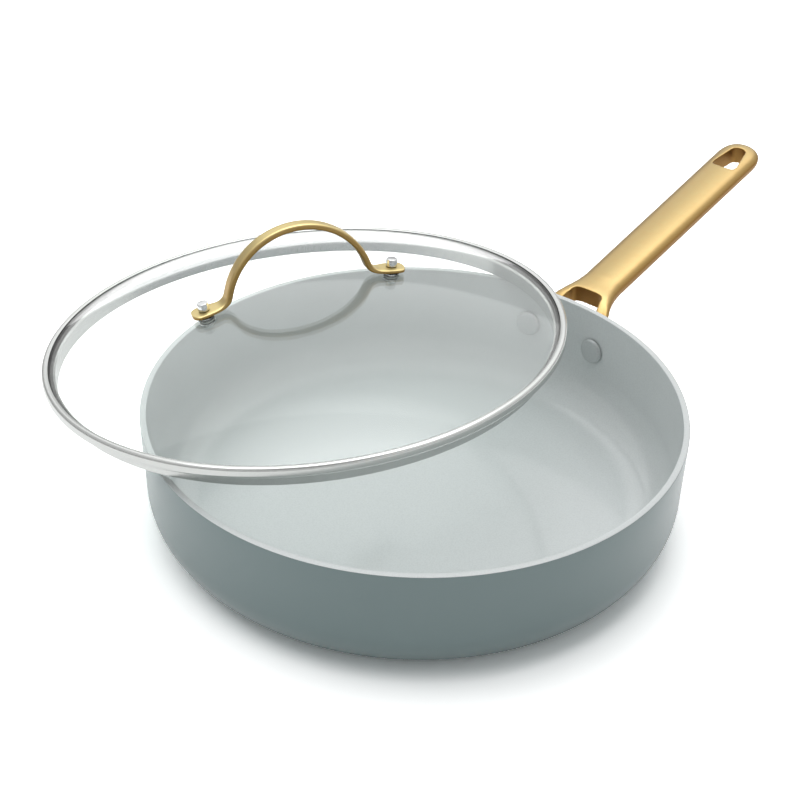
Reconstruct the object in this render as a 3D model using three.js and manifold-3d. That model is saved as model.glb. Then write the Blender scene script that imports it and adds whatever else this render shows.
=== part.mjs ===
// A deep frying pan with a long cast handle and a domed glass lid leaning on its rim.
// Millimetres, +Z up, origin at the centre of the base, on the table.
import * as THREE from "three";
import { mergeVertices } from "three/addons/utils/BufferGeometryUtils.js";
import Module from "manifold-3d";

const wasm = await Module();
wasm.setup();

// Clearances, and how far a cutter runs past what it cuts
const GAP = 0.3;
const HOLE_GAP = 0.4;
const THROUGH = 30;

// Pan
const RIM_R = 140;
const PAN_H = 65;
const RIM_LAND = 3.3;
const RIM_EASE = 0.5;
const WALL_DRAFT = 0.7;
const OUT_CORNER = 26.6;
const FLOOR_T = 5;
const IN_CORNER = 24;
const RING_LIFT = 0.2;
const RING_W = 12.7;
const PLATE_T = 1;
const PLATE_R = RIM_R - WALL_DRAFT - OUT_CORNER - RING_W;

// Pan handle: reaches are measured from the rim, outwards or down
const GRIP_AZ = THREE.MathUtils.degToRad(52.6);
const GRIP_SLOPE = THREE.MathUtils.degToRad(9.98);
const GRIP_T = 10.8;
const GRIP_TAPER = 0.14;
const EASE_DEEP = 3.6;
const EASE_WIDE = 6;
const GRIP_HALF = 13.5;
const GRIP_TIP_HALF = 14.4;
const GRIP_REACH = 199.6;
const TIP_TURN = 14.5;
const TIP_LEAD = 9;
const TIP_BLUNT = 10.4;
const FORK_REACH = 21.8;
const FORK_DOWN = 4.2;
const FORK_HALF = 10.2;
const FORK_CORNER = 5;
const NECK = 14;
const NECK_LEAD = 17;
const NECK_SWELL = 0.8;
const PRONG_ROOT = 4;
const PRONG_BURIED = 10;
const PRONG_OUT = 27.6;
const PRONG_IN = 16;
const PRONG_RUN = 12;
const PRONG_LEAN = 3;
const PRONG_DROP = 0.014;
const BEND_LEAD = 4;
const BEND_STEP = 5;
const BEND_FINE = 0.02;
const FLANGE_HALF = 30.5;
const FLANGE_T = 5.5;
const FLANGE_DOWN = 13;
const FLANGE_H = 21.5;
const FLANGE_CORNER = 9;
const HANG_END = 8.4;
const HANG_LONG = 23.6;
const HANG_HALF = 7.8;
const HANG_WIDEST = 5.5;
const HANG_BLUNT = 7;
const HANG_LEAD = 4;
const HANG_FAR_HALF = 4.9;
const HANG_FAR_RUN = 3;
const HANG_POINT = 4.2;
const RIVET_DOWN = 23.5;
const RIVET_SPREAD = THREE.MathUtils.degToRad(9.4);
const RIVET_HEAD_R = 7.8;
const RIVET_HEAD_T = 2;
const RIVET_EASE = 1.5;
const RIVET_SHANK_R = 3;
const RIVET_TAIL_R = 5.2;
const RIVET_TAIL_T = 1.8;

const WEB_X = RIM_R + FORK_REACH;
const GRIP_TIP = RIM_R + GRIP_REACH;
const GRIP_Z0 = PAN_H - FORK_DOWN - WEB_X * Math.tan(GRIP_SLOPE);
const FLANGE_TOP = PAN_H - FLANGE_DOWN;
const FLANGE_LOW = FLANGE_TOP - FLANGE_H;
const RIVET_Z = PAN_H - RIVET_DOWN;

// Lid, in its own frame: origin at the centre of the band's top edge, +Z along its axis
const LID_AZ = THREE.MathUtils.degToRad(141.55);
const LID_SHIFT = 77.7;
const LID_TILT = THREE.MathUtils.degToRad(7.14);
const LEAN_STEPS = 3600;
const BAND_R = RIM_R;
const BAND_SHEET = 0.7;
const BAND_FLANGE = 3.5;
const BAND_EASE = 1.2;
const BAND_ROLL = 5.4;
const BAND_CURL = 1.8;
const LIP_PLAY = 3.6;
const LIP_BEND = 1;
const LIP_DEEP = 12.9;
const GLASS_SPHERE = 367;
const GLASS_T = 3;
const GLASS_PLAY = 0.6;
const GLASS_DOWN = 1.15;
const GLASS_STEPS = 6;

const LIP_R = RIM_R - RIM_LAND - LIP_PLAY;
const GLASS_R = BAND_R - BAND_SHEET - GLASS_PLAY;

// Lid handle, an oval bar forged flat at its two feet, and its two fixings
const BAR_AZ = THREE.MathUtils.degToRad(62.3);
const BAR_W = 7.6;
const BAR_T = 3.4;
const BAR_FACETS = 12;
const ARCH_R = 39.9;
const ARCH_TOP = 61;
const ARCH_END = THREE.MathUtils.degToRad(15.5);
const PIN_R = 51.9;
const PAD_W = 12.6;
const PAD_T = 2.1;
const PAD_OVER = 7;
const PAD_IN = 6.6;
const PAD_SWELL = 8;
const PAD_SQUARE = 5;
const SEAL_R = 5.2;
const SEAL_T = 0.9;
const NUT_HEAD_R = 3;
const NUT_HEAD_T = 4.2;
const NUT_EASE = 0.5;
const NUT_BARREL_R = 2.4;
const NUT_BELOW = 1.2;
const SCREW_R = 1.3;
const SCREW_HEAD_R = 3.6;
const SCREW_HEAD_T = 2.2;
const SCREW_EASE = 1;
const SCREW_ABOVE = 3;
const WASHER_R = 5;
const WASHER_T = 0.8;

// Facets: round a large turned piece, round a small one, in a corner
const ROUND = 72;
const SMALL = 16;
const CORNER = 8;

// Finishes
const finish = (color, roughness, metalness) =>
  new THREE.MeshStandardMaterial({ color, roughness, metalness });
const COATING = finish("#8b9b9c", 0.4, 0.1);
const STEEL = finish("#b9bbba", 0.3, 1);
const GOLD = finish("#d2b577", 0.35, 0.9);
const RIVET = finish("#a9afb0", 0.45, 0.2);
const GLASS = finish("#dfe8e8", 0.05, 0);
const SILICONE = finish("#1d1e20", 0.7, 0);
GLASS.transparent = true;
GLASS.opacity = 0.3;

// A geometry as a closed solid, moved by a matrix when one is given.
function solid(geometry, matrix) {
  const flat = geometry.index ? geometry.toNonIndexed() : geometry;
  const bare = new THREE.BufferGeometry();
  bare.setAttribute("position", flat.getAttribute("position").clone());
  if (matrix) bare.applyMatrix4(matrix);
  const merged = mergeVertices(bare, 1e-4);
  const mesh = new wasm.Mesh({
    numProp: 3,
    vertProperties: merged.attributes.position.array,
    triVerts: new Uint32Array(merged.index.array),
  });
  return new wasm.Manifold(mesh);
}

// A profile of [radius, height] points turned about the Z axis.
function turned(profile, segments, matrix) {
  const points = profile.map(([r, z]) => new THREE.Vector2(r, z));
  const lathe = new THREE.LatheGeometry(points, segments);
  lathe.rotateX(Math.PI / 2);
  return solid(lathe, matrix);
}

// A plan outline raised along Z from low to high.
function raised(shape, low, high, matrix) {
  const block = new THREE.ExtrudeGeometry(shape, {
    depth: high - low,
    bevelEnabled: false,
    curveSegments: CORNER,
  });
  block.translate(0, 0, low);
  return solid(block, matrix);
}

function arc(cx, cz, radius, from, to, steps) {
  const points = [];
  for (let i = 0; i <= steps; i++) {
    const a = from + ((to - from) * i) / steps;
    points.push([cx + radius * Math.cos(a), cz + radius * Math.sin(a)]);
  }
  return points;
}

function piece(name, made, material) {
  const mesh = made.getMesh();
  const geometry = new THREE.BufferGeometry();
  const position = new Float32Array(mesh.vertProperties);
  geometry.setAttribute("position", new THREE.BufferAttribute(position, 3));
  geometry.setIndex(new THREE.BufferAttribute(new Uint32Array(mesh.triVerts), 1));
  geometry.computeVertexNormals();
  const node = new THREE.Mesh(geometry, material);
  node.name = name;
  return node;
}

// The pan's outside radius at a height on its wall.
const LOW_R = RIM_R - WALL_DRAFT;
function wallOut(z) {
  const share = (z - OUT_CORNER) / (PAN_H - OUT_CORNER);
  return LOW_R + WALL_DRAFT * share;
}
function wallIn(z) {
  return wallOut(z) - RIM_LAND;
}

// Pan body: flat base with a seat for the steel plate, round corner, near-upright wall, flat rim.
function panBody() {
  const seat = PLATE_T + GAP;
  const inTop = FLOOR_T + IN_CORNER;
  const inCentre = wallIn(inTop) - IN_CORNER;
  const profile = [
    [0, seat],
    [PLATE_R + GAP, seat],
    [PLATE_R + GAP, RING_LIFT],
    ...arc(LOW_R - OUT_CORNER, RING_LIFT + OUT_CORNER, OUT_CORNER, -Math.PI / 2, 0, CORNER),
    [wallOut(PAN_H - RIM_EASE), PAN_H - RIM_EASE],
    [RIM_R - RIM_EASE, PAN_H],
    [RIM_R - RIM_LAND + RIM_EASE, PAN_H],
    [wallIn(PAN_H - RIM_EASE), PAN_H - RIM_EASE],
    ...arc(inCentre, inTop, IN_CORNER, 0, -Math.PI / 2, CORNER),
    [0, FLOOR_T],
  ];
  return turned(profile, ROUND);
}

// A frame standing on the wall at an angle from the handle, its Z axis pointing outwards.
function radial(angle) {
  const turn = new THREE.Matrix4().makeRotationZ(angle);
  const lay = new THREE.Matrix4().makeRotationY(Math.PI / 2);
  const lift = new THREE.Matrix4().makeTranslation(0, 0, RIVET_Z);
  return turn.multiply(lift).multiply(lay);
}

function rod(radius, low, high, matrix, segments = SMALL) {
  return turned([[0, low], [radius, low], [radius, high], [0, high]], segments, matrix);
}

// Plan places along the handle's sloping top plane.
const ALONG = 1 / Math.cos(GRIP_SLOPE);
const WALL = (RIM_R - PRONG_ROOT) * ALONG;
const WEB = WEB_X * ALONG;
const TIP = GRIP_TIP * ALONG;

// Grip and root in plan, before the fork and the hang hole are cut.
function gripShape() {
  const neck = WEB + NECK;
  const turnIn = TIP - TIP_TURN;
  const root = WALL - PRONG_BURIED;
  const rootHalf = PRONG_OUT + (PRONG_BURIED * PRONG_LEAN) / PRONG_RUN;
  const lean = [WALL + PRONG_RUN, PRONG_OUT - PRONG_LEAN];
  const swell = [neck - NECK_LEAD, GRIP_HALF + NECK_SWELL];
  const lead = turnIn + TIP_LEAD;
  const outline = new THREE.Shape();
  outline.moveTo(root, -rootHalf);
  outline.lineTo(WALL, -PRONG_OUT);
  outline.bezierCurveTo(lean[0], -lean[1], swell[0], -swell[1], neck, -GRIP_HALF);
  outline.lineTo(turnIn, -GRIP_TIP_HALF);
  outline.bezierCurveTo(lead, -GRIP_TIP_HALF, TIP, -TIP_BLUNT, TIP, 0);
  outline.bezierCurveTo(TIP, TIP_BLUNT, lead, GRIP_TIP_HALF, turnIn, GRIP_TIP_HALF);
  outline.lineTo(neck, GRIP_HALF);
  outline.bezierCurveTo(swell[0], swell[1], lean[0], lean[1], WALL, PRONG_OUT);
  outline.lineTo(root, rootHalf);
  return outline;
}

// The slot between the prongs.
function forkShape() {
  const bend = WEB - FORK_CORNER;
  const flare = (PRONG_IN - FORK_HALF) / (bend - WALL);
  const root = WALL - PRONG_BURIED;
  const rootHalf = PRONG_IN + PRONG_BURIED * flare;
  const slot = new THREE.Shape();
  slot.moveTo(root, rootHalf);
  slot.lineTo(bend, FORK_HALF);
  slot.quadraticCurveTo(WEB, FORK_HALF, WEB, FORK_HALF - FORK_CORNER);
  slot.lineTo(WEB, FORK_CORNER - FORK_HALF);
  slot.quadraticCurveTo(WEB, -FORK_HALF, bend, -FORK_HALF);
  slot.lineTo(root, -rootHalf);
  return slot;
}

// The hang hole, wider at the end nearer the pan.
function hangShape() {
  const far = TIP - HANG_END;
  const near = far - HANG_LONG;
  const widest = near + HANG_WIDEST;
  const lead = widest - HANG_LEAD;
  const turnIn = far - HANG_FAR_RUN;
  const hang = new THREE.Shape();
  hang.moveTo(near, 0);
  hang.bezierCurveTo(near, HANG_BLUNT, lead, HANG_HALF, widest, HANG_HALF);
  hang.lineTo(turnIn, HANG_FAR_HALF);
  hang.quadraticCurveTo(far, HANG_POINT, far, 0);
  hang.quadraticCurveTo(far, -HANG_POINT, turnIn, -HANG_FAR_HALF);
  hang.lineTo(widest, -HANG_HALF);
  hang.bezierCurveTo(lead, -HANG_HALF, near, -HANG_BLUNT, near, 0);
  return hang;
}

// The cast handle: crowned sloping grip and fork, and the curved flange that meets the wall.
function panHandle() {
  const grip = new THREE.ExtrudeGeometry(gripShape(), {
    depth: GRIP_T - 2 * EASE_DEEP,
    bevelEnabled: true,
    bevelThickness: EASE_DEEP,
    bevelSize: EASE_WIDE,
    bevelOffset: -EASE_WIDE,
    bevelSegments: 4,
    curveSegments: CORNER,
  });
  grip.translate(0, 0, EASE_DEEP - GRIP_T);
  const tapered = solid(grip).warp((spot) => {
    spot[1] *= 1 + (GRIP_TAPER * spot[2]) / GRIP_T;
  });
  const slot = raised(forkShape(), -THROUGH, THROUGH);
  const hang = raised(hangShape(), -THROUGH, THROUGH);
  const flat = tapered.subtract(slot).subtract(hang);
  const bendAt = WEB + BEND_LEAD;
  const bent = flat.refineToLength(BEND_STEP).warp((spot) => {
    const short = Math.max(bendAt - spot[0], 0);
    spot[2] -= PRONG_DROP * short * short;
  });
  const slope = new THREE.Matrix4().makeRotationY(-GRIP_SLOPE);
  slope.setPosition(0, 0, GRIP_Z0);
  const bar = bent.asOriginal().simplify(BEND_FINE).transform(slope.elements);

  const reach = Math.asin((FLANGE_HALF + FLANGE_T) / RIM_R);
  const ring = new THREE.Shape();
  ring.absarc(0, 0, RIM_R + FLANGE_T, -reach, reach, false);
  ring.absarc(0, 0, RIM_R - RIM_LAND, reach, -reach, true);
  ring.closePath();
  const band = raised(ring, FLANGE_LOW, FLANGE_TOP);

  const c = FLANGE_CORNER;
  const w = FLANGE_HALF;
  const face = new THREE.Shape();
  face.moveTo(c - w, FLANGE_LOW);
  face.lineTo(w - c, FLANGE_LOW);
  face.quadraticCurveTo(w, FLANGE_LOW, w, FLANGE_LOW + c);
  face.lineTo(w, FLANGE_TOP - c);
  face.quadraticCurveTo(w, FLANGE_TOP, w - c, FLANGE_TOP);
  face.lineTo(c - w, FLANGE_TOP);
  face.quadraticCurveTo(-w, FLANGE_TOP, -w, FLANGE_TOP - c);
  face.lineTo(-w, FLANGE_LOW + c);
  face.quadraticCurveTo(-w, FLANGE_LOW, c - w, FLANGE_LOW);
  const stand = new THREE.Matrix4().makeBasis(
    new THREE.Vector3(0, 1, 0),
    new THREE.Vector3(0, 0, 1),
    new THREE.Vector3(1, 0, 0),
  );
  const outline = raised(face, RIM_R - THROUGH, RIM_R + THROUGH, stand);

  const under = FLANGE_LOW - THROUGH;
  const wall = turned(
    [
      [0, under],
      [wallOut(under) + GAP, under],
      [RIM_R + GAP, PAN_H],
      [RIM_R + GAP, PAN_H + THROUGH],
      [0, PAN_H + THROUGH],
    ],
    ROUND,
  );
  let made = bar.add(band.intersect(outline)).subtract(wall);
  for (const side of [-1, 1]) {
    const spot = radial(side * RIVET_SPREAD);
    made = made.subtract(rod(RIVET_SHANK_R + GAP, RIM_R - THROUGH, RIM_R + THROUGH, spot));
    made = made.subtract(rod(RIVET_TAIL_R + 2 * GAP, RIM_R + FLANGE_T, RIM_R + THROUGH, spot));
  }
  return made;
}

// One rivet: broad low head inside the wall, shank, formed tail on the flange.
function rivet(angle) {
  const seat = wallIn(RIVET_Z) - 2 * GAP;
  const tail = RIM_R + FLANGE_T + GAP;
  const head = seat - RIVET_HEAD_T;
  const eased = arc(RIVET_HEAD_R - RIVET_EASE, head + RIVET_EASE, RIVET_EASE, -Math.PI / 2, 0, 3);
  const profile = [
    [0, head],
    ...eased,
    [RIVET_HEAD_R, seat],
    [RIVET_SHANK_R, seat],
    [RIVET_SHANK_R, tail],
    [RIVET_TAIL_R, tail],
    [RIVET_TAIL_R, tail + RIVET_TAIL_T / 2],
    [RIVET_TAIL_R - RIVET_EASE, tail + RIVET_TAIL_T],
    [0, tail + RIVET_TAIL_T],
  ];
  return turned(profile, SMALL, radial(angle));
}

// Height of the glass's outer and inner face at a radius.
const SPHERE_Z = -GLASS_DOWN - Math.sqrt(GLASS_SPHERE ** 2 - GLASS_R ** 2);
function glassOut(r) {
  return SPHERE_Z + Math.sqrt(GLASS_SPHERE ** 2 - r * r);
}
function glassIn(r) {
  return SPHERE_Z + Math.sqrt((GLASS_SPHERE - GLASS_T) ** 2 - r * r);
}

// The frame of one fixing: origin on the glass, +Z square to it.
const PIN_LEAN = Math.asin(PIN_R / GLASS_SPHERE);
function fixing(side) {
  const turn = new THREE.Matrix4().makeRotationZ(BAR_AZ);
  const lean = new THREE.Matrix4().makeRotationY(side * PIN_LEAN);
  lean.setPosition(side * PIN_R, 0, glassOut(PIN_R));
  return turn.multiply(lean);
}

function lidGlass() {
  const profile = [];
  for (let i = 0; i <= GLASS_STEPS; i++) {
    const r = (GLASS_R * i) / GLASS_STEPS;
    profile.push([r, glassIn(r)]);
  }
  for (let i = GLASS_STEPS; i >= 0; i--) {
    const r = (GLASS_R * i) / GLASS_STEPS;
    profile.push([r, glassOut(r)]);
  }
  let made = turned(profile, ROUND);
  for (const side of [-1, 1]) {
    made = made.subtract(rod(NUT_BARREL_R + HOLE_GAP, -THROUGH, THROUGH, fixing(side)));
  }
  return made;
}

// The rolled steel band: a channel on the glass edge, with a lip that hangs inside the pan.
function lidBand() {
  const edgeIn = BAND_R - BAND_FLANGE;
  const over = glassOut(edgeIn) + GAP;
  const under = glassIn(GLASS_R) - GAP;
  const shell = BAND_R - BAND_SHEET;
  const lipIn = LIP_R - BAND_SHEET;
  const curl = BAND_CURL - BAND_ROLL;
  const profile = [
    [edgeIn, over],
    [edgeIn, over + BAND_SHEET],
    ...arc(BAND_R - BAND_EASE, -BAND_EASE, BAND_EASE, Math.PI / 2, 0, 3),
    ...arc(BAND_R - BAND_CURL, curl, BAND_CURL, 0, -Math.PI / 2, 3),
    [LIP_R + LIP_BEND, -BAND_ROLL],
    [LIP_R, -BAND_ROLL - LIP_BEND],
    [LIP_R, -LIP_DEEP],
    [lipIn, -LIP_DEEP],
    [lipIn, -BAND_ROLL],
    [lipIn + LIP_BEND, under],
    [shell, under],
    [shell, GAP - GLASS_DOWN],
    [edgeIn, over],
  ];
  return turned(profile.reverse(), ROUND);
}

// The bar's centre line in its own upright plane: pad, bend into the leg, half of the arch.
function barLine() {
  const foot = GAP + SEAL_T + GAP + PAD_T / 2;
  const sin = Math.sin(PIN_LEAN);
  const cos = Math.cos(PIN_LEAN);
  const padX = PIN_R + sin * foot;
  const padZ = glassOut(PIN_R) + cos * foot;
  const along = (d) => new THREE.Vector2(padX + cos * d, padZ - sin * d);
  const arch = arc(0, ARCH_TOP - ARCH_R, ARCH_R, ARCH_END, Math.PI / 2, CORNER + 1);
  const leg = new THREE.Vector2(...arch.shift());
  const drop = ((leg.x - padX) * sin + (leg.y - padZ) * cos) / Math.cos(ARCH_END + PIN_LEAN);
  const knee = new THREE.Vector2(Math.sin(ARCH_END), -Math.cos(ARCH_END));
  knee.multiplyScalar(drop).add(leg);
  const bend = new THREE.QuadraticBezierCurve(along(-PAD_IN), knee, leg);
  const tip = [];
  for (let i = 1; i <= CORNER / 2; i++) {
    tip.push(along(PAD_OVER - tipRun(i / (CORNER / 2))));
  }
  return [...tip, along(0), ...bend.getPoints(CORNER - 2), ...arch.map((p) => new THREE.Vector2(...p))];
}

// How far in from the pad's round end a share of its quarter turn has come.
function tipRun(share) {
  return (PAD_W / 2) * (1 - Math.cos((share * Math.PI) / 2));
}

// The lid handle: oval sections set along the line, flat and broad on the pads.
function lidHandle() {
  const half = barLine();
  const mirrored = half.slice(0, -1).map((p) => new THREE.Vector2(-p.x, p.y));
  const line = [...half, ...mirrored.reverse()];
  const runs = [tipRun(2 / CORNER)];
  for (let i = 1; i < half.length; i++) runs.push(runs[i - 1] + half[i].distanceTo(half[i - 1]));
  const padEnd = PAD_OVER + PAD_IN;
  const position = [];
  line.forEach((p, i) => {
    const before = line[Math.max(i - 1, 0)];
    const after = line[Math.min(i + 1, line.length - 1)];
    const up = new THREE.Vector2(after.y - before.y, before.x - after.x).normalize();
    const run = runs[Math.min(i, line.length - 1 - i)];
    const swell = THREE.MathUtils.smoothstep(run, padEnd, padEnd + PAD_SWELL);
    const narrow = THREE.MathUtils.smoothstep(run, PAD_OVER, padEnd + PAD_SWELL);
    const round = Math.min(run / (PAD_W / 2), 1);
    const wide = THREE.MathUtils.lerp(PAD_W * Math.sqrt(1 - (1 - round) ** 2), BAR_W, narrow) / 2;
    const thick = THREE.MathUtils.lerp(PAD_T, BAR_T, swell) / 2;
    const power = 2 / THREE.MathUtils.lerp(PAD_SQUARE, 2, swell);
    for (let k = 0; k < BAR_FACETS; k++) {
      const a = (2 * Math.PI * k) / BAR_FACETS;
      const across = wide * Math.sign(Math.cos(a)) * Math.abs(Math.cos(a)) ** power;
      const rise = thick * Math.sign(Math.sin(a)) * Math.abs(Math.sin(a)) ** power;
      position.push(p.x + up.x * rise, across, p.y + up.y * rise);
    }
  });
  const index = [];
  const last = (line.length - 1) * BAR_FACETS;
  for (let k = 0; k < BAR_FACETS; k++) {
    const next = (k + 1) % BAR_FACETS;
    for (let low = 0; low < last; low += BAR_FACETS) {
      const high = low + BAR_FACETS;
      index.push(low + k, high + next, low + next, low + k, high + k, high + next);
    }
    if (k > 0 && next > 0) index.push(0, k, next, last, last + next, last + k);
  }
  const bar = new THREE.BufferGeometry();
  bar.setAttribute("position", new THREE.Float32BufferAttribute(position, 3));
  bar.setIndex(index);
  let made = solid(bar, new THREE.Matrix4().makeRotationZ(BAR_AZ));
  for (const side of [-1, 1]) {
    made = made.subtract(rod(NUT_BARREL_R + HOLE_GAP, -THROUGH, THROUGH, fixing(side)));
  }
  return made;
}

// The stack on one fixing, from the nut's head above the pad to the screw's head under the glass.
function nut(side) {
  const top = GAP + SEAL_T + GAP + PAD_T + GAP;
  const bore = SCREW_R + GAP;
  const end = -GLASS_T - NUT_BELOW;
  const profile = [
    [bore, end],
    [NUT_BARREL_R, end],
    [NUT_BARREL_R, top],
    [NUT_HEAD_R, top],
    [NUT_HEAD_R, top + NUT_HEAD_T - NUT_EASE],
    [NUT_HEAD_R - NUT_EASE, top + NUT_HEAD_T],
    [0, top + NUT_HEAD_T],
    [0, top],
    [bore, top],
    [bore, end],
  ];
  return turned(profile, SMALL, fixing(side));
}

function ringOf(inner, outer, low, high, side) {
  const profile = [
    [inner, low],
    [outer, low],
    [outer, high],
    [inner, high],
    [inner, low],
  ];
  return turned(profile, SMALL, fixing(side));
}

const SEAL_IN = NUT_BARREL_R + HOLE_GAP;
const UNDER = -GLASS_T - GAP;
const WASHER_TOP = UNDER - SEAL_T - GAP;
const SCREW_TOP = WASHER_TOP - WASHER_T - GAP;

function screw(side) {
  const low = SCREW_TOP - SCREW_HEAD_T;
  const profile = [
    [0, low],
    [SCREW_HEAD_R - SCREW_EASE, low],
    [SCREW_HEAD_R, low + SCREW_EASE],
    [SCREW_HEAD_R, SCREW_TOP],
    [SCREW_R, SCREW_TOP],
    [SCREW_R, SCREW_ABOVE],
    [0, SCREW_ABOVE],
  ];
  return turned(profile, SMALL, fixing(side));
}

// The lid hangs at its lean, lowered until the lip is one clearance above the pan's rim.
function lidFrame() {
  const frame = new THREE.Matrix4().makeRotationZ(LID_AZ);
  frame.multiply(new THREE.Matrix4().makeRotationY(LID_TILT));
  const shift = new THREE.Vector3(LID_SHIFT, 0, 0);
  shift.applyAxisAngle(new THREE.Vector3(0, 0, 1), LID_AZ);
  const point = new THREE.Vector3();
  let height = 0;
  for (let i = 0; i < LEAN_STEPS; i++) {
    const a = (2 * Math.PI * i) / LEAN_STEPS;
    for (const r of [LIP_R, LIP_R - BAND_SHEET]) {
      point.set(r * Math.cos(a), r * Math.sin(a), -LIP_DEEP).applyMatrix4(frame).add(shift);
      const away = Math.hypot(point.x, point.y);
      const over = away > RIM_R - RIM_LAND - GAP && away < RIM_R + GAP;
      if (over) height = Math.max(height, PAN_H + GAP - point.z);
    }
  }
  frame.setPosition(shift.x, shift.y, height);
  return frame;
}

const root = new THREE.Group();
root.name = "deep_frying_pan";

// Pan
let shell = panBody();
for (const side of [-1, 1]) {
  const spot = radial(GRIP_AZ + side * RIVET_SPREAD);
  const hole = rod(RIVET_SHANK_R + GAP, RIM_R - THROUGH, RIM_R + THROUGH, spot);
  shell = shell.subtract(hole);
}
root.add(piece("pan_body", shell, COATING));
root.add(piece("base_plate", rod(PLATE_R, 0, PLATE_T, undefined, ROUND), STEEL));

const handle = new THREE.Group();
handle.rotation.z = GRIP_AZ;
handle.add(piece("pan_handle", panHandle(), GOLD));
handle.add(piece("handle_rivet_right", rivet(-RIVET_SPREAD), RIVET));
handle.add(piece("handle_rivet_left", rivet(RIVET_SPREAD), RIVET));
root.add(handle);

// Lid
const lid = new THREE.Group();
lid.applyMatrix4(lidFrame());
lid.add(piece("lid_glass", lidGlass(), GLASS));
lid.add(piece("lid_band", lidBand(), STEEL));
lid.add(piece("lid_handle", lidHandle(), GOLD));
for (const [side, word] of [[1, "left"], [-1, "right"]]) {
  lid.add(piece("lid_nut_" + word, nut(side), STEEL));
  lid.add(piece("lid_seal_top_" + word, ringOf(SEAL_IN, SEAL_R, GAP, GAP + SEAL_T, side), SILICONE));
  lid.add(piece("lid_seal_low_" + word, ringOf(SEAL_IN, SEAL_R, UNDER - SEAL_T, UNDER, side), SILICONE));
  const disc = ringOf(SCREW_R + HOLE_GAP, WASHER_R, WASHER_TOP - WASHER_T, WASHER_TOP, side);
  lid.add(piece("lid_washer_" + word, disc, STEEL));
  lid.add(piece("lid_screw_" + word, screw(side), STEEL));
}
root.add(lid);

export default root;
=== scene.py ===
# %% [markdown]
# A deep frying pan, with its glass lid leaning across the rim.
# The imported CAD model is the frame: every piece here is modelled in its place, in metres, and rides on
# one of its two bodies, the pan or the lid.

import math

import bpy
from mathutils import Matrix, Vector


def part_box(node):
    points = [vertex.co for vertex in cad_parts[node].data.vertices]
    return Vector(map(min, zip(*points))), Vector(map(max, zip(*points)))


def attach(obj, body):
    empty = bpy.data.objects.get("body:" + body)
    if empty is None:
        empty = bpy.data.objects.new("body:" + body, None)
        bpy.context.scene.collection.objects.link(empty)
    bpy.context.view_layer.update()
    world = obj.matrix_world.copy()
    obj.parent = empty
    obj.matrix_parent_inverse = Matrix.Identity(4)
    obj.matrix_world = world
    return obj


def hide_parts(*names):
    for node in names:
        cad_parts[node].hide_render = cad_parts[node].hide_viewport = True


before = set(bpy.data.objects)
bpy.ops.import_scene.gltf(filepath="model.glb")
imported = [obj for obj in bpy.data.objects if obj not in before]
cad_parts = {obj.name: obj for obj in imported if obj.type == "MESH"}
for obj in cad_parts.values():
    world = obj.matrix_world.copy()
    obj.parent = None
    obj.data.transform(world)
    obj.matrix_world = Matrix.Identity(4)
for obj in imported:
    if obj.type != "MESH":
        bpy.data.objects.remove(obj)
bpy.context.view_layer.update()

# %% [markdown]
# Everything is measured in millimetres on the real pan, so one small function turns a size into metres.
# Round pieces are all made the same way: a single point is pushed along half of the section, and the line
# is spun once round the axis. That is how such pieces are drawn on a lathe, and it leaves no seam once the
# doubles are merged.


# %% Helpers for turned pieces
MERGE = 0.002


def mm(*sizes):
    scaled = [size / 1000 for size in sizes]
    return scaled[0] if len(scaled) == 1 else tuple(scaled)


def clear():
    if bpy.context.mode != "OBJECT":
        bpy.ops.object.mode_set(mode="OBJECT")
    bpy.ops.object.select_all(action="DESELECT")


def arc(cx, cz, radius, start, end, steps):
    angles = [math.radians(start + (end - start) * i / steps) for i in range(steps + 1)]
    return [(cx + radius * math.cos(a), cz + radius * math.sin(a)) for a in angles]


def turned(name, section, steps):
    """A closed piece spun from its half section, a list of (radius, height) in millimetres."""
    clear()
    bpy.ops.mesh.primitive_plane_add(size=mm(1))
    piece = bpy.context.object
    piece.name = name
    bpy.ops.object.mode_set(mode="EDIT")
    bpy.ops.mesh.merge(type="CENTER")
    bpy.ops.transform.translate(value=mm(section[0][0], 0, section[0][1]))
    for (r0, z0), (r1, z1) in zip(section, section[1:]):
        step = {"value": mm(r1 - r0, 0, z1 - z0)}
        bpy.ops.mesh.extrude_region_move(TRANSFORM_OT_translate=step)
    bpy.ops.mesh.select_all(action="SELECT")
    bpy.ops.mesh.spin(steps=steps, angle=2 * math.pi, center=(0, 0, 0), axis=(0, 0, 1))
    bpy.ops.mesh.select_all(action="SELECT")
    bpy.ops.mesh.remove_doubles(threshold=mm(MERGE))
    bpy.ops.mesh.normals_make_consistent(inside=False)
    bpy.ops.object.mode_set(mode="OBJECT")
    return piece


def place(piece, matrix):
    """Moves a piece into its place and puts that place into its mesh."""
    clear()
    piece.matrix_world = matrix
    piece.select_set(True)
    bpy.context.view_layer.objects.active = piece
    bpy.ops.object.transform_apply(location=True, rotation=True, scale=True)


def drill(piece, matrix, radius, reach):
    """Cuts a round hole along the Z axis of a matrix."""
    clear()
    bpy.ops.mesh.primitive_cylinder_add(vertices=32, radius=mm(radius), depth=mm(2 * reach))
    cutter = bpy.context.object
    place(cutter, matrix)
    clear()
    piece.select_set(True)
    bpy.context.view_layer.objects.active = piece
    hole = piece.modifiers.new("hole", "BOOLEAN")
    hole.operation = "DIFFERENCE"
    hole.object = cutter
    bpy.ops.object.modifier_apply(modifier="hole")
    bpy.data.objects.remove(cutter)


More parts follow.
